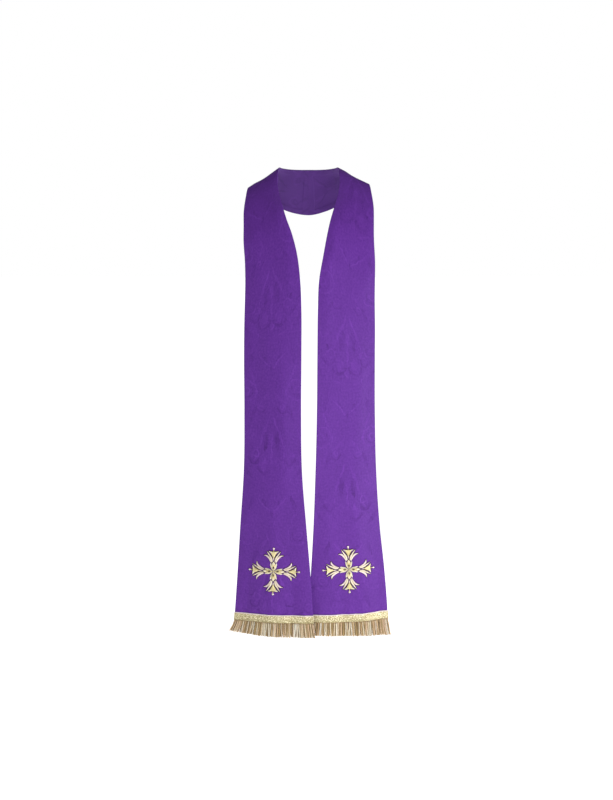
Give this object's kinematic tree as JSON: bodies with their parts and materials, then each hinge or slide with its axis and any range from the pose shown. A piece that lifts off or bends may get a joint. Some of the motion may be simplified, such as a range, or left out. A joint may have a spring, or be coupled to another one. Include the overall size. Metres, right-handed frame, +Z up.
{
  "type": "clerical stole",
  "caption": "Worn clerical stole: a long damask band over the shoulders whose flared front panels end in an embroidered cross, gold galloon and fringe.",
  "frame": {"origin": "middle of the neck opening, level with where the stole rests beside the wearer's neck, at mount neck", "axes": "+Z up, the front towards -Y, +X to the right as seen from the front; metres"},
  "size_m": [0.4044, 0.272, 1.1432],
  "materials": {
    "damask": "purple tone-on-tone damask with a soft sheen",
    "galloon": "woven pale gold metallic braid",
    "fringe": "twisted antique gold and cream threads",
    "embroidery": "satin stitch in gold and cream with dark outlines"
  },
  "bodies": {
    "root": {"panel_left": "damask", "panel_right": "damask", "galloon_left": "galloon", "galloon_right": "galloon", "fringe_left": "fringe", "fringe_right": "fringe", "cross_left": "embroidery", "cross_right": "embroidery"}
  },
  "joints": []
}
